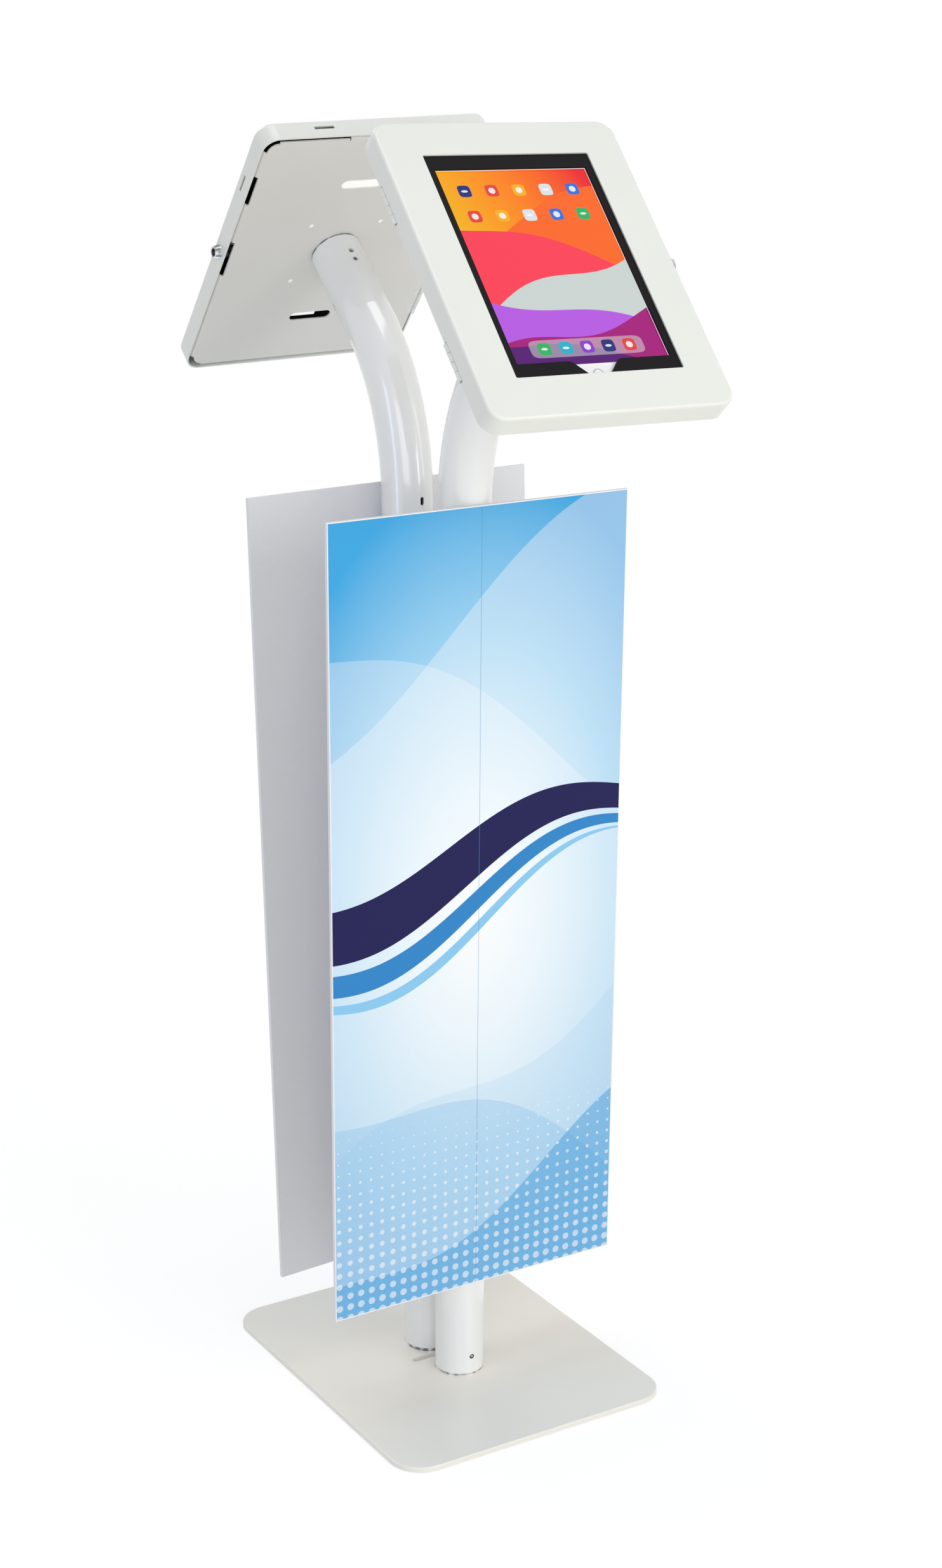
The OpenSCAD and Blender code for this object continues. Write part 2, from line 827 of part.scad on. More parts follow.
module pin_bores()
    hinge_places()
        translate([hinge_x, -hinge_l, hinge_z])
            rotate([-90, 0, 0])
                cylinder(d = pin_d + 2 * pin_fit, h = 2 * hinge_l);

module tray_hinge_leaves()
    color(powder_white)
        difference() {
            hinge_places() {
                translate([floor_left, -hinge_l / 2, tray_floor_z])
                    cube([leaf_w, hinge_l, leaf_t]);
                knuckle_row(0) {
                    knuckle();
                    translate([hinge_x, 0, tray_floor_z])
                        cube([floor_left - hinge_x + eps, knuckle_l - hinge_run, leaf_t]);
                }
            }
            pin_bores();
            hinge_rivet_places()
                translate([0, 0, tray_floor_z - 1])
                    cylinder(d = rivet_d + screw_fit, h = leaf_t + 2);
        }

module cover_hinge_leaves()
    color(powder_white)
        difference() {
            hinge_places() {
                translate([-wall_in, -hinge_l / 2, hinge_z + knuckle_d / 2 + hinge_run])
                    cube([leaf_t, hinge_l, leaf_w]);
                knuckle_row(1) {
                    knuckle();
                    translate([-wall_in, 0, hinge_z])
                        cube([leaf_t, knuckle_l - hinge_run, knuckle_d / 2 + hinge_run + eps]);
                }
            }
            pin_bores();
        }

module hinge_pins()
    color(bright_steel)
        hinge_places()
            translate([hinge_x, -hinge_l / 2 - pin_over, hinge_z])
                rotate([-90, 0, 0])
                    cylinder(d = pin_d, h = hinge_l + 2 * pin_over);

module hinge_rivets()
    color(powder_white)
        hinge_rivet_places() {
            translate([0, 0, tray_back_z - rivet_head_t]) {
                cylinder(d = rivet_d, h = tray_t + leaf_t + 2 * rivet_head_t);
                cylinder(d = rivet_head_d, h = rivet_head_t);
            }
            translate([0, 0, tray_floor_z + leaf_t])
                cylinder(d = rivet_head_d, h = rivet_head_t);
        }

// Cover
module cover()
    color(powder_white)
        difference() {
            soft_slab(cover_w, cover_h, cover_depth, cover_corner_r, cover_edge_r);
            translate([0, 0, -cover_wall])
                soft_slab(cover_w - 2 * cover_wall, cover_h - 2 * cover_wall, cover_depth,
                          cover_corner_r - cover_wall, cover_edge_r - cover_wall);
            translate([0, window_rise, -cover_wall - 1])
                linear_extrude(cover_wall + 2)
                    outline(window_w, window_h, window_r);
            translate([power_x, cover_h / 2, access_z])
                cube([power_slot_l, 4 * cover_wall, power_slot_w], center = true);
            translate([cover_half, volume_y, access_z])
                cube([4 * cover_wall, volume_slot_l, volume_slot_w], center = true);
            translate([wall_in - 1, 0, lock_z])
                rotate([0, 90, 0])
                    cylinder(d = barrel_d + 2 * screw_fit, h = cover_wall + 2);
            hinge_places()
                translate([-cover_half - 1, -hinge_notch_l / 2, -cover_depth - 1])
                    cube([cover_wall + 2, hinge_notch_l,
                          hinge_z + knuckle_d / 2 + hinge_run + cover_depth + 1]);
        }

module mask_opening() {
    translate([0, window_rise])
        square([mask_open_w, mask_open_h], center = true);
    // Notch that leaves the home button free, with rounded shoulders
    translate([0, home_y])
        circle(notch_r);
    polygon([[-notch_r, home_y], [notch_r, home_y],
             [notch_top_x, notch_top + eps], [-notch_top_x, notch_top + eps]]);
    for (x = [-1, 1])
        difference() {
            polygon([[x * (notch_top_x - shoulder_run * cos(notch_slope) - shoulder_lap),
                      notch_top - shoulder_run * sin(notch_slope)],
                     [x * (notch_top_x - shoulder_lap), notch_top + eps],
                     [x * (notch_top_x + shoulder_run), notch_top + eps],
                     [x * (notch_top_x + shoulder_run), notch_top - notch_shoulder_r]]);
            translate([x * (notch_top_x + shoulder_run), notch_top - notch_shoulder_r + shoulder_lap / 3])
                circle(notch_shoulder_r);
        }
}

module screen_mask()
    color(mask_black)
        translate([0, 0, mask_z])
            linear_extrude(mask_t)
                difference() {
                    translate([0, window_rise])
                        outline(window_w + 2 * mask_tuck, window_h + 2 * mask_tuck, window_r);
                    mask_opening();
                }

// Lock: the axis runs along X through the cover's right wall
module along_lock(x)
    translate([x, 0, lock_z])
        rotate([0, 90, 0])
            children();

module lock_barrel()
    color(bright_steel)
        difference() {
            union() {
                along_lock(barrel_end)
                    cylinder(d = barrel_d, h = cover_half - barrel_end);
                along_lock(cover_half)
                    cylinder(d1 = collar_d, d2 = collar_face_d, h = collar_h);
            }
            along_lock(barrel_end - 1)
                cylinder(d = plug_d + 2 * plug_fit, h = far);
        }

module lock_nut()
    color(bright_steel)
        difference() {
            along_lock(wall_in - lock_nut_t)
                cylinder(d = lock_nut_af / cos(30), h = lock_nut_t, $fn = 6);
            along_lock(wall_in - lock_nut_t - 1)
                cylinder(d = barrel_d + screw_fit, h = lock_nut_t + 2);
        }

module lock_plug()
    color(dark_steel)
        difference() {
            union() {
                along_lock(cam_x + cam_t + 0.1)
                    cylinder(d = plug_d, h = cover_half + collar_h - 0.4 - cam_x - cam_t - 0.1);
                along_lock(cam_x - 0.6)
                    cylinder(d = cam_tail_d, h = cam_t + 1);
            }
            // Ring for a tubular key, with its drive notch
            along_lock(cover_half + collar_h - key_ring_depth)
                difference() {
                    cylinder(d = plug_d * 0.72, h = far);
                    cylinder(d = plug_d * 0.4, h = far);
                }
            translate([cover_half + collar_h - key_ring_depth, -plug_d * 0.08, lock_z])
                cube([far, plug_d * 0.16, plug_d * 0.45]);
        }

module lock_cam()
    color(bright_steel)
        along_lock(cam_x)
            linear_extrude(cam_t)
                difference() {
                    union() {
                        circle(d = 1.1 * plug_d);
                        translate([0, -cam_w / 2])
                            square([cam_tip, cam_w]);
                    }
                    circle(d = cam_tail_d + 2 * plug_fit);
                }

// Tablet and cradle
module tablet_cradle()
    color(moulded_white)
        difference() {
            union() {
                difference() {
                    translate([0, window_rise, tray_floor_z])
                        linear_extrude(cradle_rim_z - tray_floor_z)
                            outline(cradle_w, cradle_h, tablet_corner_r + cradle_fit + cradle_wall);
                    translate([0, window_rise, cradle_seat_z])
                        linear_extrude(far)
                            outline(tablet_w + 2 * cradle_fit, tablet_h + 2 * cradle_fit,
                                    tablet_corner_r + cradle_fit);
                    translate([0, window_rise, tray_floor_z + cradle_floor])
                        linear_extrude(far)
                            square([hollow_w, hollow_h], center = true);
                }
                // Ribs across the hollow that carry the tablet's back
                for (y = [-1, 1])
                    translate([-hollow_w / 2 + cradle_rib_gap,
                               window_rise + y * cradle_rib_y - cradle_rib / 2,
                               tray_floor_z + cradle_floor - weld])
                        cube([hollow_w - 2 * cradle_rib_gap, cradle_rib,
                              cradle_seat_z - tray_floor_z - cradle_floor + weld]);
            }
            // Room for the neck's screw heads and the lead
            translate([0, 0, tray_floor_z - 1])
                cylinder(d = cradle_hole_d, h = cradle_floor + 2);
            translate([-lead_gap_l / 2, lead_gap_top - lead_gap_w, tray_floor_z - 1])
                cube([lead_gap_l, lead_gap_w, far]);
            translate([-lead_gap_l / 2, lead_gap_top - eps, tray_floor_z - 1])
                cube([plug_gap_l, plug_gap_w, far]);
            // Gaps beside the tablet's buttons
            translate([power_x, window_rise + tablet_h / 2, tablet_back_z + far / 2])
                cube([1.3 * power_slot_l, 4 * cradle_wall, far], center = true);
            translate([tablet_w / 2, volume_y, tablet_back_z + far / 2])
                cube([4 * cradle_wall, 1.4 * volume_slot_l, far], center = true);
        }

module key_pocket(l)
    cube([l + 2 * key_fit, 2 * (key_root + key_travel + key_fit), key_w + 2 * key_fit], center = true);

module power_key_place()
    translate([power_x, window_rise + tablet_h / 2, key_z])
        children();

module volume_key_place(up)
    translate([tablet_w / 2, volume_y + up * (key_l + key_gap) / 2, key_z])
        rotate([0, 0, -90])
            children();

module side_key()
    translate([-key_l / 2, -key_root, -key_w / 2])
        cube([key_l, key_root + key_out, key_w]);

module tablet_case()
    color(aluminium)
        difference() {
            translate([0, window_rise, tablet_back_z])
                mirror([0, 0, 1])
                    soft_slab(tablet_w, tablet_h, case_z - tablet_back_z, tablet_corner_r, tablet_edge_r);
            translate([0, home_y, glass_z - home_cap_t - home_travel - key_fit])
                cylinder(d = home_d + 2 * key_fit, h = far);
            power_key_place()
                key_pocket(key_l);
            for (up = [-1, 1])
                volume_key_place(up)
                    key_pocket(key_l);
            translate([0, window_rise - tablet_h / 2, key_z])
                cube([port_w, 2 * port_depth, port_h], center = true);
        }

module tablet_bezel()
    color(glass_white)
        translate([0, 0, case_z])
            linear_extrude(glass_t)
                difference() {
                    translate([0, window_rise])
                        outline(tablet_w - 0.4, tablet_h - 0.4, tablet_corner_r - 0.2);
                    translate([0, window_rise])
                        square([screen_w + 0.1, screen_h + 0.1], center = true);
                    translate([0, home_y])
                        circle(d = home_d + 2 * key_fit);
                }

module tablet_screen()
    color(screen_violet)
        translate([0, window_rise, case_z + glass_t / 2])
            cube([screen_w, screen_h, glass_t], center = true);

module home_button()
    color(glass_white)
        translate([0, home_y, glass_z - home_cap_t])
            cylinder(d = home_d, h = home_cap_t);

module power_button()
    color(aluminium)
        power_key_place()
            side_key();

module volume_button(up)
    color(aluminium)
        volume_key_place(up)
            side_key();

base_plate();
base_pads();
foot_spigots();
foot_screws();
foot_set_screws();
column(front);  // front_column
column(rear);  // rear_column
panel(front);  // front_panel
panel(rear);  // rear_panel
poster(front);  // front_poster
poster(rear);  // rear_poster
panel_saddles();
panel_screws();

on_head(front) back_tray();  // front_back_tray
on_head(front) neck_spigot();  // front_neck_spigot
on_head(front) neck_screws();  // front_neck_screws
on_head(front) neck_set_screws();  // front_neck_set_screws
on_head(front) cover();  // front_cover
on_head(front) tray_hinge_leaves();  // front_tray_hinge_leaves
on_head(front) cover_hinge_leaves();  // front_cover_hinge_leaves
on_head(front) hinge_pins();  // front_hinge_pins
on_head(front) hinge_rivets();  // front_hinge_rivets
on_head(front) lock_barrel();  // front_lock_barrel
on_head(front) lock_nut();  // front_lock_nut
on_head(front) lock_plug();  // front_lock_plug
on_head(front) lock_cam();  // front_lock_cam
on_head(front) tablet_cradle();  // front_tablet_cradle
on_head(front) screen_mask();  // front_screen_mask
on_head(front) tablet_case();  // front_tablet_case
on_head(front) tablet_bezel();  // front_tablet_bezel
on_head(front) tablet_screen();  // front_tablet_screen
on_head(front) home_button();  // front_home_button
on_head(front) power_button();  // front_power_button
on_head(front) volume_button(1);  // front_volume_up_button
on_head(front) volume_button(-1);  // front_volume_down_button

on_head(rear) back_tray();  // rear_back_tray
on_head(rear) neck_spigot();  // rear_neck_spigot
on_head(rear) neck_screws();  // rear_neck_screws
on_head(rear) neck_set_screws();  // rear_neck_set_screws
on_head(rear) cover();  // rear_cover
on_head(rear) tray_hinge_leaves();  // rear_tray_hinge_leaves
on_head(rear) cover_hinge_leaves();  // rear_cover_hinge_leaves
on_head(rear) hinge_pins();  // rear_hinge_pins
on_head(rear) hinge_rivets();  // rear_hinge_rivets
on_head(rear) lock_barrel();  // rear_lock_barrel
on_head(rear) lock_nut();  // rear_lock_nut
on_head(rear) lock_plug();  // rear_lock_plug
on_head(rear) lock_cam();  // rear_lock_cam
on_head(rear) tablet_cradle();  // rear_tablet_cradle
on_head(rear) screen_mask();  // rear_screen_mask
on_head(rear) tablet_case();  // rear_tablet_case
on_head(rear) tablet_bezel();  // rear_tablet_bezel
on_head(rear) tablet_screen();  // rear_tablet_screen
on_head(rear) home_button();  // rear_home_button
on_head(rear) power_button();  // rear_power_button
on_head(rear) volume_button(1);  // rear_volume_up_button
on_head(rear) volume_button(-1);  // rear_volume_down_button
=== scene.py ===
import math

import bpy
import numpy as np
from mathutils import Matrix, Vector


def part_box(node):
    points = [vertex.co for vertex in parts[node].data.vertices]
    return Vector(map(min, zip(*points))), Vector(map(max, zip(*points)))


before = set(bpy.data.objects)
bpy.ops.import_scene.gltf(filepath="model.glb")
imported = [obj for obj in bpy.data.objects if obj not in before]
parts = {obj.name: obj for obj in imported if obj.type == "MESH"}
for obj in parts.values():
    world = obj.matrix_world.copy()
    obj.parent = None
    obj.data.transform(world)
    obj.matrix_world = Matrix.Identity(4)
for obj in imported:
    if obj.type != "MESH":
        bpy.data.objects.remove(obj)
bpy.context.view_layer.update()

# Base plate
# One sheet of steel, cut with rounded corners and a lead slot between the columns, and powder
# coated white.


def linear(code):
    """An sRGB hex colour as the linear colour that a shader takes."""
    shares = [int(code[i:i + 2], 16) / 255 for i in (1, 3, 5)]
    return (*[s / 12.92 if s <= 0.04045 else ((s + 0.055) / 1.055) ** 2.4 for s in shares], 1.0)


def add(tree, kind, inputs=None, **settings):
    """Adds one node with its settings, and links or sets its inputs."""
    node = tree.nodes.new(kind)
    for name, value in settings.items():
        setattr(node, name, value)
    for name, value in (inputs or {}).items():
        if isinstance(value, bpy.types.NodeSocket):
            tree.links.new(value, node.inputs[name])
        else:
            node.inputs[name].default_value = value
    return node


def new_finish(name):
    """An empty material and its node tree."""
    finish = bpy.data.materials.new(name)
    finish.use_nodes = True
    finish.node_tree.nodes.clear()
    return finish, finish.node_tree


def give(finish, *names):
    """Puts one finish all over each of these CAD pieces."""
    for name in names:
        parts[name].data.materials.clear()
        parts[name].data.materials.append(finish)


# Sizes in metres of the hump of the peel, as drawn, and of the clouds where the coat is thicker
PEEL, CLOUD = 0.0025, 0.12


def baked_powder(name, dark, light, coat):
    """A powder coat between two tones, with a share of clear gloss on top."""
    finish, tree = new_finish(name)
    place = add(tree, "ShaderNodeTexCoord").outputs["Object"]
    peel = add(tree, "ShaderNodeTexNoise", {
        "Vector": place, "Scale": 1 / PEEL, "Detail": 2.0}).outputs["Fac"]
    cloud = add(tree, "ShaderNodeTexNoise", {
        "Vector": place, "Scale": 1 / CLOUD, "Detail": 3.0}).outputs["Fac"]
    tone = add(tree, "ShaderNodeMix", {
        0: cloud, 6: linear(dark), 7: linear(light)}, data_type="RGBA")
    gloss = add(tree, "ShaderNodeMapRange", {
        "Value": peel, "From Min": 0.3, "From Max": 0.7, "To Min": 0.32, "To Max": 0.42})
    bump = add(tree, "ShaderNodeBump", {"Height": peel, "Strength": 0.2, "Distance": 0.00008})
    skin = add(tree, "ShaderNodeBsdfPrincipled", {
        "Base Color": tone.outputs[2], "Roughness": gloss.outputs["Result"], "IOR": 1.5,
        "Coat Weight": coat, "Coat Roughness": 0.12, "Normal": bump.outputs["Normal"]})
    add(tree, "ShaderNodeOutputMaterial", {"Surface": skin.outputs["BSDF"]})
    return finish


# Polyester powder, baked: it melts to a satin skin with a faint orange peel, and it lies a little
# thicker here and there. The real peel is about 1 mm from hump to hump; it is drawn at 2.5 mm so
# that it shows. On the plate it is glossier, and its tone is painted a little lighter and creamier
# than the cover's, as painted light on its top face.
give(baked_powder("cream_white_powder_coat_painted_lighter", "#f0ede3", "#f5f2e9", coat=0.3), "base_plate")

# Base pads
# Six discs of black rubber sheet, stuck under the plate.


def grained(name, grain, detail, dark, light, inputs, bump=None, gloss=None):
    """A finish with one grain of a size in metres, between two tones. A bump is its strength and its
    depth in metres, and gloss is the least and the greatest roughness."""
    finish, tree = new_finish(name)
    place = add(tree, "ShaderNodeTexCoord").outputs["Object"]
    share = add(tree, "ShaderNodeTexNoise", {
        "Vector": place, "Scale": 1 / grain, "Detail": detail}).outputs["Fac"]
    tone = add(tree, "ShaderNodeMix", {
        0: share, 6: linear(dark), 7: linear(light)}, data_type="RGBA")
    inputs = {"Base Color": tone.outputs[2], **inputs}
    if bump:
        inputs["Normal"] = add(tree, "ShaderNodeBump", {
            "Height": share, "Strength": bump[0], "Distance": bump[1]}).outputs["Normal"]
    if gloss:
        inputs["Roughness"] = add(tree, "ShaderNodeMapRange", {
            "Value": share, "From Min": 0.3, "From Max": 0.7,
            "To Min": gloss[0], "To Max": gloss[1]}).outputs["Result"]
    skin = add(tree, "ShaderNodeBsdfPrincipled", inputs)
    add(tree, "ShaderNodeOutputMaterial", {"Surface": skin.outputs["BSDF"]})
    return finish


# Rubber is matt, with a fine grain of about 0.3 mm, drawn at 1.5 mm.
give(grained("black_rubber_sheet", grain=0.0015, detail=4.0, dark="#1a1a1b", light="#2a2a2b",
             inputs={"Roughness": 0.82, "IOR": 1.52}, bump=(0.4, 0.0001)), "base_pads")

# Foot spigots
# Turned steel plugs in the ends of the tubes, screwed to the plate from below. Only a bright
# ring of each shows under the tube.

# Chrome plate over turned steel: a mirror, greyer than the paint around it, dulled a little where
# the lathe has left its lines. The lines are about 0.2 mm apart and are drawn at 1.2 mm. The darker
# patches, of about 8 mm, stand in for dark things round about that real chrome would mirror.
LATHE_LINE, DARK_PATCH = 0.0012, 0.008
chrome, tree = new_finish("chrome_plate_on_turned_steel")
place = add(tree, "ShaderNodeTexCoord").outputs["Object"]
lathe = add(tree, "ShaderNodeTexNoise", {
    "Vector": place, "Scale": 1 / LATHE_LINE, "Detail": 2.0}).outputs["Fac"]
patch = add(tree, "ShaderNodeTexNoise", {
    "Vector": place, "Scale": 1 / DARK_PATCH, "Detail": 1.0}).outputs["Fac"]
patch = add(tree, "ShaderNodeMapRange", {"Value": patch, "From Min": 0.38, "From Max": 0.6})
tone = add(tree, "ShaderNodeMix", {
    0: patch.outputs["Result"], 6: linear("#7d8083"), 7: linear("#e6e7e9")}, data_type="RGBA")
gloss = add(tree, "ShaderNodeMapRange", {
    "Value": lathe, "From Min": 0.3, "From Max": 0.7, "To Min": 0.06, "To Max": 0.14})
skin = add(tree, "ShaderNodeBsdfPrincipled", {
    "Base Color": tone.outputs[2], "Metallic": 1.0, "Roughness": gloss.outputs["Result"]})
add(tree, "ShaderNodeOutputMaterial", {"Surface": skin.outputs["BSDF"]})
give(chrome, "foot_spigots")

# Foot screws and foot set screws
# Countersunk socket screws from below, and one set screw in each foot that clamps the tube.

# Steel blackened in oil: dark, half matt, with a few brighter rubbed spots about 1 mm wide.
black_steel = grained("oil_blackened_steel", grain=0.001, detail=3.0, dark="#2f3032", light="#4c4d50",
                      inputs={"Metallic": 1.0}, gloss=(0.3, 0.5))
give(black_steel, "foot_screws")

# The set screws are of the same steel, with a painted highlight that makes their sockets bright. A
# socket is 2.5 mm across, on an axis that runs front to back.
SOCKET_R, HIGHLIGHT_EDGE_R = 0.0012, 0.0015
socket_highlight_steel, tree = new_finish("blackened_steel_with_painted_socket_highlight")
low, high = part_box("foot_set_screws")
place = add(tree, "ShaderNodeTexCoord").outputs["Object"]
off = add(tree, "ShaderNodeVectorMath", {
    0: place, 1: (0, 0, -(low[2] + high[2]) / 2)}, operation="ADD")
off = add(tree, "ShaderNodeVectorMath", {
    0: off.outputs["Vector"], 1: (1, 0, 1)}, operation="MULTIPLY")
off = add(tree, "ShaderNodeVectorMath", {0: off.outputs["Vector"]}, operation="LENGTH")
# Painted highlight: full light inside the socket, fading to the dark steel towards the rim
socket_highlight = add(tree, "ShaderNodeMapRange", {
    "Value": off.outputs["Value"], "From Min": SOCKET_R, "From Max": HIGHLIGHT_EDGE_R,
    "To Min": 1.0, "To Max": 0.0})
tone = add(tree, "ShaderNodeMix", {
    0: socket_highlight.outputs["Result"], 6: linear("#333436"), 7: linear("#e6e6e4")}, data_type="RGBA")
skin = add(tree, "ShaderNodeBsdfPrincipled", {
    "Base Color": tone.outputs[2], "Metallic": 1.0, "Roughness": 0.35})
add(tree, "ShaderNodeOutputMaterial", {"Surface": skin.outputs["BSDF"]})
give(socket_highlight_steel, "foot_set_screws")

# Columns
# Round steel tube of 50 mm, bent cold to a neck at the top, with a key slot below the bend. Each
# stands on its foot spigot.

# The same white powder, flowed out to full gloss on the smooth tube, so that it mirrors the lamps
# as long soft streaks. Its peel is wider and flatter: about 2 mm, drawn at 4 mm. The index of the
# clear coat is higher than a real one's, so that the streaks show.
FLOWED_PEEL, FLOWED_CLOUD = 0.004, 0.15
gloss_coat, tree = new_finish("gloss_white_powder_coat_painted_lighter")
place = add(tree, "ShaderNodeTexCoord").outputs["Object"]
peel = add(tree, "ShaderNodeTexNoise", {
    "Vector": place, "Scale": 1 / FLOWED_PEEL, "Detail": 2.0}).outputs["Fac"]
cloud = add(tree, "ShaderNodeTexNoise", {
    "Vector": place, "Scale": 1 / FLOWED_CLOUD, "Detail": 3.0}).outputs["Fac"]
# The tone is painted a little lighter than the cover's, as painted light on the tubes
tone = add(tree, "ShaderNodeMix", {
    0: cloud, 6: linear("#eff1f0"), 7: linear("#f5f6f5")}, data_type="RGBA")
bump = add(tree, "ShaderNodeBump", {"Height": peel, "Strength": 0.08, "Distance": 0.00008})
skin = add(tree, "ShaderNodeBsdfPrincipled", {
    "Base Color": tone.outputs[2], "Roughness": 0.3, "IOR": 1.5,
    "Coat Weight": 0.9, "Coat Roughness": 0.09, "Coat IOR": 1.8, "Normal": bump.outputs["Normal"]})
add(tree, "ShaderNodeOutputMaterial", {"Surface": skin.outputs["BSDF"]})
give(gloss_coat, "front_column", "rear_column")

# Panels
# A board of foamed plastic behind each column's outer side, sawn square. Its skin is matt white
# with fine closed cells, about 0.5 mm across and drawn at 2 mm so that they show.
give(grained("foamed_plastic_board", grain=0.002, detail=3.0, dark="#e7e8ec", light="#edeef1",
             inputs={"Roughness": 0.55, "IOR": 1.53}, bump=(0.12, 0.00006)), "front_panel", "rear_panel")

# Panel saddles and panel screws
# White mouldings that seat the flat board on the round tube, with a screw through each from
# inside the tube.

# ABS, moulded in a spark-eroded tool: an even, half-matt grain of about 0.3 mm, drawn at 1.2 mm.
SPARK, ABS_DARK, ABS_LIGHT = 0.0012, "#f0f0ed", "#f6f6f4"
give(grained("moulded_white_abs", grain=SPARK, detail=2.0, dark=ABS_DARK, light=ABS_LIGHT,
             inputs={"Roughness": 0.48, "IOR": 1.53}, bump=(0.2, 0.00006)), "panel_saddles")
give(black_steel, "panel_screws")

# Posters
# A printed sheet stuck over the whole front of each board: sky blue at the corners and near white
# in the middle, with broad pale waves, dark and light ribbons and a field of dots.


def plate_frame(name):
    """Where a flat piece lies: X across it, Y up it, Z out of its face, zero at its middle."""
    points = np.array([v.co for v in parts[name].data.vertices])
    middle = (points.min(0) + points.max(0)) / 2
    axes = np.linalg.svd(points - points.mean(0))[2]
    up, out = Vector(axes[0]), Vector(axes[2])
    up = up if up.z > 0 else -up
    out = out if out.dot(Vector((middle[0], middle[1], 0.05))) > 0 else -out
    return Matrix.Translation(middle) @ Matrix((up.cross(out), up, out)).transposed().to_4x4()


def on_plate(tree, name):
    """The place on a flat piece in metres, as one vector and as X, Y and Z."""
    where = plate_frame(name)
    flat = add(tree, "ShaderNodeMapping", {
        "Vector": add(tree, "ShaderNodeTexCoord").outputs["Object"],
        "Location": where.translation, "Rotation": where.to_euler()},
        vector_type="TEXTURE").outputs["Vector"]
    return flat, add(tree, "ShaderNodeSeparateXYZ", {"Vector": flat}).outputs


def set_stops(ramp, *stops):
    """Sets the stops of a colour ramp from pairs of place and colour."""
    elements = ramp.color_ramp.elements
    while len(elements) < len(stops):
        elements.new(1.0)
    for element, (place, code) in zip(elements, stops):
        element.position = place
        element.color = linear(code)


def below_wave(tree, xyz, height, slope, swing, length, shift):
    """One below a slanted wave line on a flat piece, and nought above it."""
    turn = add(tree, "ShaderNodeMath", {
        0: xyz["X"], 1: 2 * math.pi / length, 2: shift}, operation="MULTIPLY_ADD")
    sway = add(tree, "ShaderNodeMath", {0: turn.outputs[0]}, operation="SINE")
    level = add(tree, "ShaderNodeMath", {
        0: xyz["X"], 1: slope, 2: height}, operation="MULTIPLY_ADD")
    line = add(tree, "ShaderNodeMath", {
        0: sway.outputs[0], 1: swing, 2: level.outputs[0]}, operation="MULTIPLY_ADD")
    below = add(tree, "ShaderNodeMath", {0: xyz["Y"], 1: line.outputs[0]}, operation="LESS_THAN")
    return below.outputs[0]


def ink(tree, under, mask, share, code):
    """Lays a share of one ink over a picture, where a mask is one."""
    amount = add(tree, "ShaderNodeMath", {0: mask, 1: share}, operation="MULTIPLY")
    return add(tree, "ShaderNodeMix", {
        0: amount.outputs[0], 6: under, 7: linear(code)}, data_type="RGBA").outputs[2]


SIDES = ("front", "rear")
# Waves and ribbons: height, slope, swing, length and shift of each line
waves = [((0.30, 0.60, 0.030, 0.46, 0.4), 0.26, "#ffffff"),
         ((0.19, -0.50, 0.036, 0.50, 2.0), 0.22, "#ffffff"),
         ((-0.17, 0.55, 0.035, 0.44, 3.4), 0.16, "#7fc1ea"),
         ((-0.23, -0.45, 0.040, 0.48, 1.1), 0.30, "#6cb8e7"),
         ((-0.31, 0.42, 0.028, 0.40, 5.0), 0.6, "#3ea4de")]
ribbons = [((0.078, 0.14, 0.026, 0.42, 0.5), (0.034, 0.20, 0.030, 0.42, 0.2), "#171450"),
           ((0.024, 0.21, 0.031, 0.42, 0.1), (0.006, 0.24, 0.033, 0.42, 0.0), "#2f86c9"),
           ((-0.002, 0.25, 0.034, 0.42, -0.1), (-0.010, 0.27, 0.035, 0.42, -0.2), "#8ccaf0")]
# How far the pale middle reaches across and up, and half the printed field
PALE_W, PALE_H = 0.25, 0.43
PRINT_HALF_W, PRINT_HALF_H = 0.1595, 0.3955
# Half the width of the line down the middle, and the fibre as drawn
LINE_HALF, FIBRE = 0.0004, 0.0015
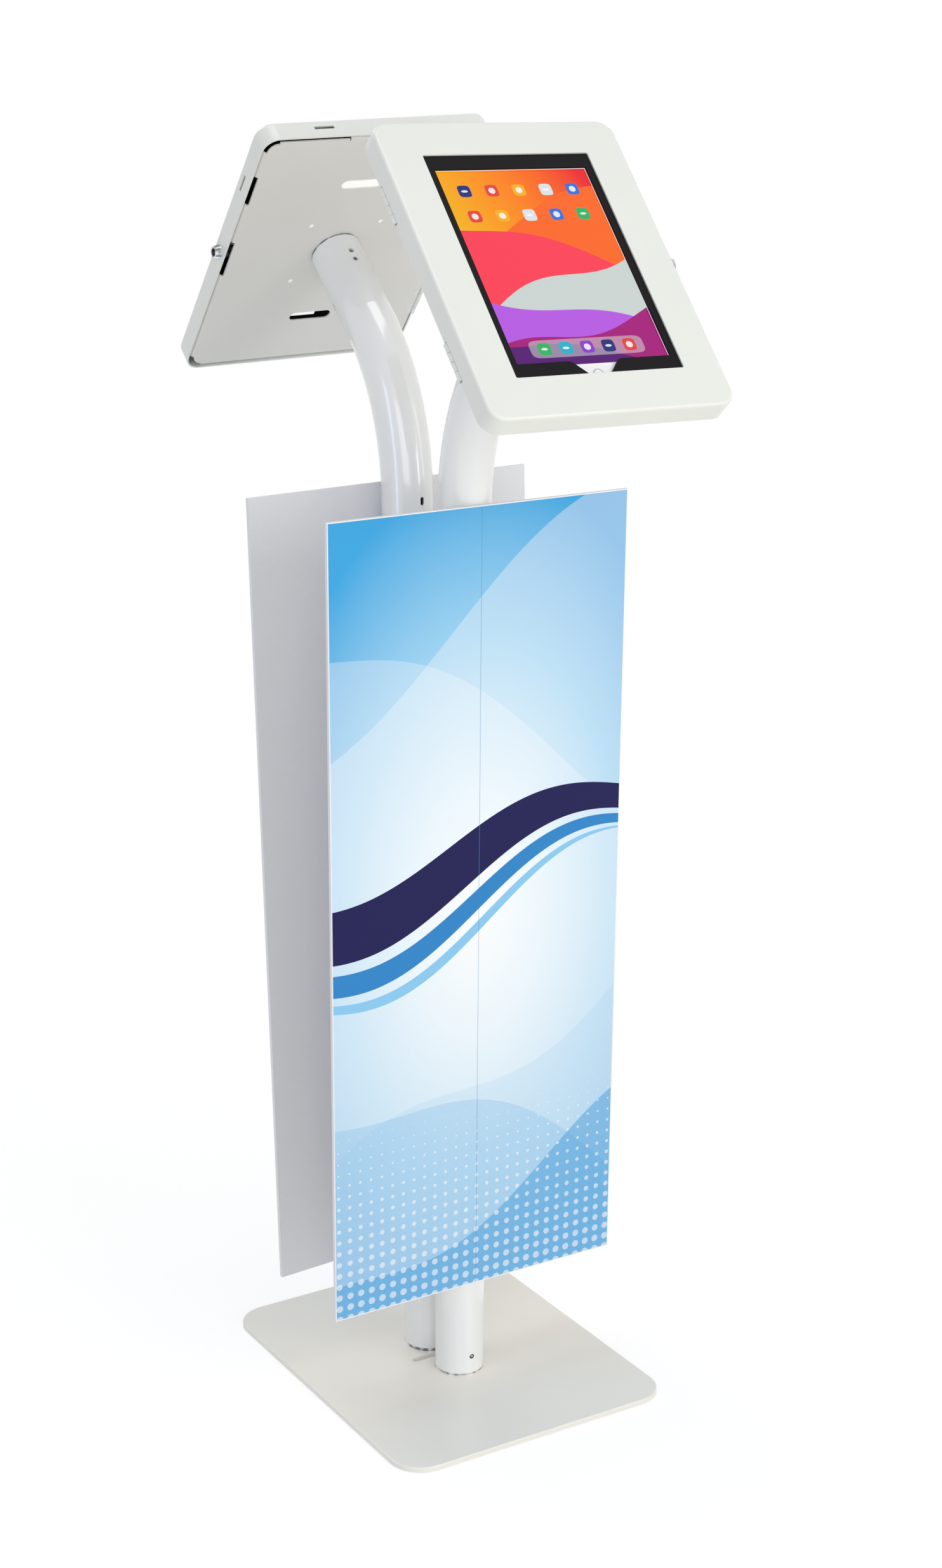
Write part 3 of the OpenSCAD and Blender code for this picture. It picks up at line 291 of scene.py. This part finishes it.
# Dots on a 12 mm grid: at the foot their radius is a third of the pitch, and higher up it is nothing
DOT_PITCH, DOT_SHARE = 0.012, 0.33
DOTS_FULL_Y, DOTS_END_Y = -0.40, -0.17
for side in SIDES:
    # Coated paper with a satin film: even ink, a soft sheen and a hint of the fibre, about 0.3 mm
    # and drawn at 1.5 mm
    print_skin, tree = new_finish(f"{side}_satin_print")
    flat, xyz = on_plate(tree, f"{side}_poster")
    spread = add(tree, "ShaderNodeVectorMath", {
        0: flat, 1: (1 / PALE_W, 1 / PALE_H, 0)}, operation="MULTIPLY")
    reach = add(tree, "ShaderNodeVectorMath", {0: spread.outputs["Vector"]}, operation="LENGTH")
    ramp = add(tree, "ShaderNodeValToRGB", {"Fac": reach.outputs["Value"]})
    set_stops(ramp, (0.0, "#fbfdff"), (0.3, "#dbeffb"), (0.62, "#9ed3f1"), (1.0, "#3aa5df"))
    picture = ramp.outputs["Color"]
    for line, share, code in waves:
        picture = ink(tree, picture, below_wave(tree, xyz, *line), share, code)
    dots = add(tree, "ShaderNodeTexVoronoi", {
        "Vector": flat, "Scale": 1 / DOT_PITCH, "Randomness": 0.0},
        voronoi_dimensions="2D").outputs["Distance"]
    size = add(tree, "ShaderNodeMapRange", {
        "Value": xyz["Y"], "From Min": DOTS_FULL_Y, "From Max": DOTS_END_Y,
        "To Min": DOT_SHARE, "To Max": 0.0})
    in_dot = add(tree, "ShaderNodeMath", {
        0: dots, 1: size.outputs["Result"]}, operation="LESS_THAN").outputs[0]
    picture = ink(tree, picture, in_dot, 0.5, "#ffffff")
    for upper, lower, code in ribbons:
        band = add(tree, "ShaderNodeMath", {
            0: below_wave(tree, xyz, *upper), 1: below_wave(tree, xyz, *lower)},
            operation="SUBTRACT").outputs[0]
        picture = ink(tree, picture, band, 1.0, code)
    # A fine blue-grey line down the middle, like the butt joint of two half sheets
    seam = add(tree, "ShaderNodeMath", {
        0: xyz["X"], 1: 0.0, 2: LINE_HALF}, operation="COMPARE").outputs[0]
    picture = ink(tree, picture, seam, 0.45, "#3f86b4")
    # The print stops 1 mm short of the sheet's edges
    sides = add(tree, "ShaderNodeMath", {
        0: xyz["X"], 1: 0.0, 2: PRINT_HALF_W}, operation="COMPARE").outputs[0]
    ends = add(tree, "ShaderNodeMath", {
        0: xyz["Y"], 1: 0.0, 2: PRINT_HALF_H}, operation="COMPARE").outputs[0]
    printed = add(tree, "ShaderNodeMath", {0: sides, 1: ends}, operation="MULTIPLY").outputs[0]
    picture = add(tree, "ShaderNodeMix", {
        0: printed, 6: linear("#f4f5f6"), 7: picture}, data_type="RGBA").outputs[2]
    fibre = add(tree, "ShaderNodeTexNoise", {
        "Vector": flat, "Scale": 1 / FIBRE, "Detail": 3.0}).outputs["Fac"]
    bump = add(tree, "ShaderNodeBump", {"Height": fibre, "Strength": 0.08, "Distance": 0.00005})
    skin = add(tree, "ShaderNodeBsdfPrincipled", {
        "Base Color": picture, "Roughness": 0.5, "IOR": 1.5, "Specular IOR Level": 0.22,
        "Normal": bump.outputs["Normal"]})
    add(tree, "ShaderNodeOutputMaterial", {"Surface": skin.outputs["BSDF"]})
    give(print_skin, f"{side}_poster")

# Back trays
# Steel sheet with folded walls, screwed to a spigot in the end of the tube's neck. Two set screws
# in the neck clamp it; one of them sits deep in its hole.


def both(*names):
    """The front and the rear piece of each of these names."""
    return [f"{side}_{name}" for side in SIDES for name in names]


# The same powder, less glossy than on the cover, and painted a shade greyer as painted shade
give(baked_powder("white_powder_coat_painted_greyer", "#e1dfda", "#e7e5e0", coat=0.1), *both("back_tray"))
give(chrome, *both("neck_spigot"))
give(black_steel, *both("neck_screws"))

# Zinc plate: a light grey metal, cloudy in spots of about 2 mm, with a soft shine.
zinc = grained("zinc_plated_steel", grain=0.002, detail=3.0, dark="#8f9295", light="#b6b9bc",
               inputs={"Metallic": 1.0}, gloss=(0.22, 0.38))
give(zinc, *both("neck_set_screws"))

# Covers and hinges
# Deep covers of folded and welded sheet, coated white. Each swings on two small barrel hinges,
# coated with it, on bare plated pins.
give(baked_powder("white_powder_coat", "#e5e8e1", "#ebede7", coat=0.25),
     *both("cover", "tray_hinge_leaves", "cover_hinge_leaves", "hinge_rivets"))
give(zinc, *both("hinge_pins"))

# Locks
# A cam lock in the cover's wall: chrome collar and nut, a dark plug for a tubular key, and a
# plated cam that turns under the tray's keeper.
give(chrome, *both("lock_barrel", "lock_nut"))
give(black_steel, *both("lock_plug"))
give(zinc, *both("lock_cam"))

# Tablet cradles
# White mouldings that hold the tablet in the tray. The floor of each lies on the tray and shows
# through the tray's holes.
GLOW_DEPTH = 0.001
for side in SIDES:
    # Moulded ABS with the grain of the saddles. The lowest 1 mm of its floor is given a little light
    # of its own, so that it looks bright white in the tray's holes
    thin_abs, tree = new_finish(f"{side}_thin_white_abs")
    to_screen = plate_frame(f"{side}_tablet_screen").inverted()
    underside = min((to_screen @ v.co).z for v in parts[f"{side}_tablet_cradle"].data.vertices)
    flat, xyz = on_plate(tree, f"{side}_tablet_screen")
    spark = add(tree, "ShaderNodeTexNoise", {
        "Vector": flat, "Scale": 1 / SPARK, "Detail": 2.0}).outputs["Fac"]
    tone = add(tree, "ShaderNodeMix", {
        0: spark, 6: linear(ABS_DARK), 7: linear(ABS_LIGHT)}, data_type="RGBA")
    lowest = add(tree, "ShaderNodeMath", {
        0: xyz["Z"], 1: underside + GLOW_DEPTH}, operation="LESS_THAN")
    light = add(tree, "ShaderNodeMath", {0: lowest.outputs[0], 1: 0.3}, operation="MULTIPLY")
    skin = add(tree, "ShaderNodeBsdfPrincipled", {
        "Base Color": tone.outputs[2], "Roughness": 0.48, "IOR": 1.53,
        "Emission Color": linear("#ffffff"), "Emission Strength": light.outputs[0]})
    add(tree, "ShaderNodeOutputMaterial", {"Surface": skin.outputs["BSDF"]})
    give(thin_abs, f"{side}_tablet_cradle")

# Screen masks
# Black plastic sheet behind the cover's window, cut out round the screen and the home button.

# Calendered sheet: near black and matt, with a grain of about 0.2 mm, drawn at 1 mm.
give(grained("black_calendered_sheet", grain=0.001, detail=2.0, dark="#151315", light="#1b191b",
             inputs={"Roughness": 0.5, "IOR": 1.5, "Specular IOR Level": 0.08}, bump=(0.15, 0.00005)),
     *both("screen_mask"))

# Tablet cases and side buttons
# A thin milled case with power and volume buttons of the same metal.

# Bead-blasted aluminium, anodised graphite grey: dark and silky, with a grain of about 0.1 mm,
# drawn at 0.8 mm.
give(grained("graphite_anodised_aluminium", grain=0.0008, detail=2.0, dark="#3c3d40", light="#4a4b4e",
             inputs={"Metallic": 1.0, "Roughness": 0.42}, bump=(0.2, 0.00003)),
     *both("tablet_case", "power_button", "volume_up_button", "volume_down_button"))

# Tablet borders and home buttons
# White-printed cover glass round the screen, and a round button with a thin metal ring.

# Glass over white ink: smooth and bright, a little uneven in tone over about 30 mm.
give(grained("white_backed_glass", grain=0.03, detail=2.0, dark="#f0f0f3", light="#f6f6f8",
             inputs={"Roughness": 0.06, "IOR": 1.52}), *both("tablet_bezel"))

RING_R, RING_HALF = 0.0048, 0.0003
for side in SIDES:
    # Glass with a steel ring 0.6 mm wide let in near its edge
    button_skin, tree = new_finish(f"{side}_home_button_glass")
    low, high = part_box(f"{side}_home_button")
    place = add(tree, "ShaderNodeTexCoord").outputs["Object"]
    off = add(tree, "ShaderNodeVectorMath", {
        0: place, 1: (Vector(low) + Vector(high)) / 2}, operation="DISTANCE")
    ring = add(tree, "ShaderNodeMath", {
        0: off.outputs["Value"], 1: RING_R, 2: RING_HALF}, operation="COMPARE").outputs[0]
    tone = add(tree, "ShaderNodeMix", {
        0: ring, 6: linear("#f3f3f5"), 7: linear("#8f9196")}, data_type="RGBA")
    skin = add(tree, "ShaderNodeBsdfPrincipled", {
        "Base Color": tone.outputs[2], "Metallic": ring, "Roughness": 0.1, "IOR": 1.52})
    add(tree, "ShaderNodeOutputMaterial", {"Surface": skin.outputs["BSDF"]})
    give(button_skin, f"{side}_home_button")

# Tablet screens
# The lit panel under the glass. It shows a plain start page: hills in warm colours, rows of plain
# tiles with a white dot or bar, and a pale shelf of tiles at the foot.

# Hills: height, slope, swing, length and shift of each ridge line, from back to front
hills = [((0.052, 0.34, 0.010, 0.20, 0.3), "#ff6a1e"),
         ((0.018, -0.36, 0.012, 0.24, 1.4), "#ff3f57"),
         ((-0.018, 0.40, 0.011, 0.19, 2.6), "#ced8d5"),
         ((-0.050, -0.30, 0.010, 0.22, 0.2), "#b95be6"),
         ((-0.070, 0.22, 0.008, 0.17, 4.0), "#a80f7c"),
         ((-0.090, -0.16, 0.005, 0.15, 2.0), "#560c74")]
tile_inks = ("#e8433c", "#2f74e0", "#8f3bd0", "#fbb21d", "#2fb765", "#1f2f7c", "#dfe7ec", "#21b3cf")
# Half a tile, height of the middle of the upper rows, place and half sizes of the shelf, and where
# the picture ends at the right and at the top
TILE_HALF, ROWS_Y = 0.0062, 0.066
SHELF_Y, SHELF_HALF_W, SHELF_HALF_H = -0.0865, 0.056, 0.009
LIT_RIGHT, LIT_TOP = 0.0754, 0.1012


def tile_rows(tree, xyz, picture, middle, columns, rows, pitch, first):
    """Lays rows of rounded tiles over a picture, each with a plain mark."""
    cell, near, inside = [], [], []
    for axis, centre, count in (("X", middle[0], columns), ("Y", middle[1], rows)):
        start = add(tree, "ShaderNodeMath", {
            0: xyz[axis], 1: centre - count * pitch / 2}, operation="SUBTRACT")
        steps = add(tree, "ShaderNodeMath", {
            0: start.outputs[0], 1: pitch}, operation="DIVIDE").outputs[0]
        cell.append(add(tree, "ShaderNodeMath", {0: steps}, operation="FLOOR").outputs[0])
        part = add(tree, "ShaderNodeMath", {0: steps}, operation="FRACT").outputs[0]
        near.append(add(tree, "ShaderNodeMath", {
            0: part, 1: pitch, 2: -pitch / 2}, operation="MULTIPLY_ADD").outputs[0])
        inside.append(add(tree, "ShaderNodeMath", {
            0: steps, 1: count / 2, 2: count / 2}, operation="COMPARE").outputs[0])
    field = add(tree, "ShaderNodeMath", {
        0: inside[0], 1: inside[1]}, operation="MULTIPLY").outputs[0]
    # A tile is a soft square: the sum of fourth powers stays under its half width to the fourth
    powers = [add(tree, "ShaderNodeMath", {0: offset, 1: 4.0}, operation="POWER").outputs[0]
              for offset in near]
    total = add(tree, "ShaderNodeMath", {0: powers[0], 1: powers[1]}, operation="ADD").outputs[0]
    square = add(tree, "ShaderNodeMath", {
        0: total, 1: TILE_HALF ** 4}, operation="LESS_THAN").outputs[0]
    tile = add(tree, "ShaderNodeMath", {0: square, 1: field}, operation="MULTIPLY").outputs[0]
    # Tiles take the inks in turn, three on for each column and five on for each row
    inks = len(tile_inks)
    turn = add(tree, "ShaderNodeMath", {
        0: cell[0], 1: 3 / inks, 2: first / inks}, operation="MULTIPLY_ADD")
    turn = add(tree, "ShaderNodeMath", {
        0: cell[1], 1: 5 / inks, 2: turn.outputs[0]}, operation="MULTIPLY_ADD")
    turn = add(tree, "ShaderNodeMath", {0: turn.outputs[0]}, operation="FRACT").outputs[0]
    ramp = add(tree, "ShaderNodeValToRGB", {"Fac": turn})
    ramp.color_ramp.interpolation = "CONSTANT"
    set_stops(ramp, *[(i / inks, code) for i, code in enumerate(tile_inks)])
    picture = add(tree, "ShaderNodeMix", {
        0: tile, 6: picture, 7: ramp.outputs["Color"]}, data_type="RGBA").outputs[2]
    # A dot on half of the tiles and a level bar on the others
    flatter = add(tree, "ShaderNodeMath", {0: turn, 1: 0.5}, operation="GREATER_THAN")
    squeeze = add(tree, "ShaderNodeMath", {
        0: flatter.outputs[0], 1: 1.6, 2: 1.0}, operation="MULTIPLY_ADD")
    rise = add(tree, "ShaderNodeMath", {0: near[1], 1: squeeze.outputs[0]}, operation="MULTIPLY")
    spot = add(tree, "ShaderNodeCombineXYZ", {"X": near[0], "Y": rise.outputs[0]})
    off = add(tree, "ShaderNodeVectorMath", {0: spot.outputs[0]}, operation="LENGTH")
    mark = add(tree, "ShaderNodeMath", {
        0: off.outputs["Value"], 1: TILE_HALF * 0.52}, operation="LESS_THAN")
    mark = add(tree, "ShaderNodeMath", {0: mark.outputs[0], 1: field}, operation="MULTIPLY")
    return ink(tree, picture, mark.outputs[0], 0.8, "#ffffff")


for side in SIDES:
    # A lit panel under coated glass: it glows in its own colours and mirrors very little
    lit_panel, tree = new_finish(f"{side}_lit_panel_under_glass")
    flat, xyz = on_plate(tree, f"{side}_tablet_screen")
    slant = add(tree, "ShaderNodeMath", {
        0: xyz["Y"], 1: 0.35, 2: xyz["X"]}, operation="MULTIPLY_ADD")
    sky = add(tree, "ShaderNodeMapRange", {
        "Value": slant.outputs[0], "From Min": -0.07, "From Max": 0.10})
    ramp = add(tree, "ShaderNodeValToRGB", {"Fac": sky.outputs["Result"]})
    set_stops(ramp, (0.0, "#f6bb0c"), (0.38, "#ff9407"), (0.72, "#ff6a14"), (1.0, "#f0242c"))
    picture = ramp.outputs["Color"]
    for line, code in hills:
        picture = ink(tree, picture, below_wave(tree, xyz, *line), 1.0, code)
    picture = tile_rows(
        tree, xyz, picture, (0.0, ROWS_Y), columns=5, rows=2, pitch=0.027, first=0.5)
    # The shelf is a soft bar, 112 mm by 18 mm
    wide = add(tree, "ShaderNodeMath", {0: xyz["X"], 1: 1 / SHELF_HALF_W}, operation="MULTIPLY")
    wide = add(tree, "ShaderNodeMath", {0: wide.outputs[0], 1: 16.0}, operation="POWER")
    high = add(tree, "ShaderNodeMath", {
        0: xyz["Y"], 1: 1 / SHELF_HALF_H, 2: -SHELF_Y / SHELF_HALF_H}, operation="MULTIPLY_ADD")
    high = add(tree, "ShaderNodeMath", {0: high.outputs[0], 1: 4.0}, operation="POWER")
    total = add(tree, "ShaderNodeMath", {0: wide.outputs[0], 1: high.outputs[0]}, operation="ADD")
    shelf = add(tree, "ShaderNodeMath", {0: total.outputs[0], 1: 1.0}, operation="LESS_THAN")
    picture = ink(tree, picture, shelf.outputs[0], 0.3, "#f2eef6")
    picture = tile_rows(
        tree, xyz, picture, (0.0, SHELF_Y), columns=5, rows=1, pitch=0.021, first=4.5)
    # A fine white line at the picture's top and right edges, as if the white border showed there
    right = add(tree, "ShaderNodeMath", {0: xyz["X"], 1: LIT_RIGHT}, operation="GREATER_THAN")
    top = add(tree, "ShaderNodeMath", {0: xyz["Y"], 1: LIT_TOP}, operation="GREATER_THAN")
    border = add(tree, "ShaderNodeMath", {
        0: right.outputs[0], 1: top.outputs[0]}, operation="MAXIMUM")
    picture = ink(tree, picture, border.outputs[0], 1.0, "#f4f1f3")
    skin = add(tree, "ShaderNodeBsdfPrincipled", {
        "Base Color": linear("#0c0c0e"), "Roughness": 0.07, "IOR": 1.52, "Specular IOR Level": 0.15,
        "Emission Color": picture, "Emission Strength": 0.95})
    add(tree, "ShaderNodeOutputMaterial", {"Surface": skin.outputs["BSDF"]})
    give(lit_panel, f"{side}_tablet_screen")

# Studio
# A pale floor that runs off to white, and six soft lamps: a wide one in front, one beside the
# camera, one high behind, one overhead, and a narrow strip at each side that draws streaks on the
# tubes.


def seen_directly(tree):
    """One for a ray from the eye, also by way of a mirror or glass, and nought for any other."""
    rays = add(tree, "ShaderNodeLightPath").outputs
    seen = add(tree, "ShaderNodeMath", {
        0: rays["Is Camera Ray"], 1: rays["Is Glossy Ray"]}, operation="MAXIMUM")
    seen = add(tree, "ShaderNodeMath", {
        0: seen.outputs[0], 1: rays["Is Transmission Ray"]}, operation="MAXIMUM")
    return seen.outputs[0]


# To the eye the floor is grey paper with a glow, and it fades to white between these distances from
# the middle. To the pieces it is a warm white that throws light back at them.
FADE_FROM, FADE_TO = 0.5, 1.8
bpy.ops.mesh.primitive_plane_add(size=40, location=(0, 0, 0))
floor = bpy.context.object
floor.name = "studio_floor"
floor_skin, tree = new_finish("pale_studio_floor")
seen = seen_directly(tree)
place = add(tree, "ShaderNodeTexCoord").outputs["Object"]
reach = add(tree, "ShaderNodeVectorMath", {0: place}, operation="LENGTH").outputs["Value"]
far = add(tree, "ShaderNodeMapRange", {
    "Value": reach, "From Min": FADE_FROM, "From Max": FADE_TO}, interpolation_type="SMOOTHSTEP")
fade = add(tree, "ShaderNodeMath", {0: far.outputs["Result"], 1: seen}, operation="MULTIPLY")
tone = add(tree, "ShaderNodeMix", {
    0: seen, 6: linear("#f2efe8"), 7: linear("#a6a6a6")}, data_type="RGBA")
glow_level = add(tree, "ShaderNodeMath", {0: seen, 1: 0.70}, operation="MULTIPLY")
paper = add(tree, "ShaderNodeBsdfDiffuse", {"Color": tone.outputs[2]})
glow = add(tree, "ShaderNodeEmission", {
    "Color": linear("#ffffff"), "Strength": glow_level.outputs[0]})
near_floor = add(tree, "ShaderNodeAddShader", {0: paper.outputs[0], 1: glow.outputs[0]})
white = add(tree, "ShaderNodeEmission", {"Color": linear("#ffffff"), "Strength": 1.0})
sweep = add(tree, "ShaderNodeMixShader", {
    "Fac": fade.outputs[0], 1: near_floor.outputs[0], 2: white.outputs[0]})
add(tree, "ShaderNodeOutputMaterial", {"Surface": sweep.outputs[0]})
floor.data.materials.append(floor_skin)

world = bpy.data.worlds.new("white_studio")
bpy.context.scene.world = world
world.use_nodes = True
tree = world.node_tree
tree.nodes.clear()
level = add(tree, "ShaderNodeMapRange", {
    "Value": seen_directly(tree), "To Min": 0.44, "To Max": 1.0})
sky = add(tree, "ShaderNodeBackground", {
    "Color": linear("#ffffff"), "Strength": level.outputs["Result"]})
add(tree, "ShaderNodeOutputWorld", {"Surface": sky.outputs[0]})


def softbox(name, width, height, power, place, aim, colour="#ffffff"):
    """A soft lamp at a place, pointed at another."""
    lamp = bpy.data.lights.new(name, "AREA")
    lamp.shape = "RECTANGLE"
    lamp.size, lamp.size_y, lamp.energy = width, height, power
    lamp.color = linear(colour)[:3]
    holder = bpy.data.objects.new(name, lamp)
    holder.location = place
    holder.rotation_euler = (Vector(aim) - Vector(place)).to_track_quat("-Z", "Y").to_euler()
    bpy.context.scene.collection.objects.link(holder)


softbox("front_softbox", 2.6, 2.6, 59, (1.1, -3.9, 1.7), (0, 0, 0.7))
softbox("camera_softbox", 2.0, 2.6, 22, (-2.0, -3.4, 1.9), (0, 0, 0.7))
softbox("back_softbox", 2.2, 1.6, 40, (-0.9, 3.3, 3.8), (0, 0, 0.7))
softbox("top_softbox", 3.0, 3.0, 65, (0.3, -0.8, 6.8), (0, 0, 0.6))
# The strip at the left is cool, because the walls that face it look a little blue
softbox("left_strip", 0.5, 2.2, 9, (-2.7, -0.7, 1.2), (0, 0, 0.8), "#b4ccff")
softbox("right_strip", 0.3, 2.2, 3, (2.4, -1.9, 1.2), (0, 0, 0.8))

# Camera
# Where the photographer stood: a little above the heads, to the left of the front head. Frame,
# focal length and lens middle are in pixels of the frame.
FRAME_W, FRAME_H = 1484, 2471
FOCAL = 4028.2
MIDDLE = (652.9, 1362.2)
SENSOR = 36
azimuth, elevation, roll = math.radians(-29.90), math.radians(17.937), math.radians(-0.773)
target, distance = Vector((-0.02882, -0.00161, 0.54623)), 2.48912
back = Vector((math.sin(azimuth) * math.cos(elevation),
               -math.cos(azimuth) * math.cos(elevation), math.sin(elevation)))
level_right = (-back).cross(Vector((0, 0, 1))).normalized()
level_up = level_right.cross(-back)
right = level_right * math.cos(roll) + level_up * math.sin(roll)
up = level_up * math.cos(roll) - level_right * math.sin(roll)
turned = Matrix((right, up, back)).transposed().to_4x4()
lens = bpy.data.cameras.new("studio_camera")
lens.sensor_width = SENSOR
lens.lens = FOCAL / FRAME_H * SENSOR
lens.shift_x = (FRAME_W / 2 - MIDDLE[0]) / FRAME_H
lens.shift_y = (MIDDLE[1] - FRAME_H / 2) / FRAME_H
camera = bpy.data.objects.new("studio_camera", lens)
camera.matrix_world = Matrix.Translation(target + back * distance) @ turned
bpy.context.scene.collection.objects.link(camera)
bpy.context.scene.camera = camera
bpy.context.scene.view_settings.view_transform = "Standard"
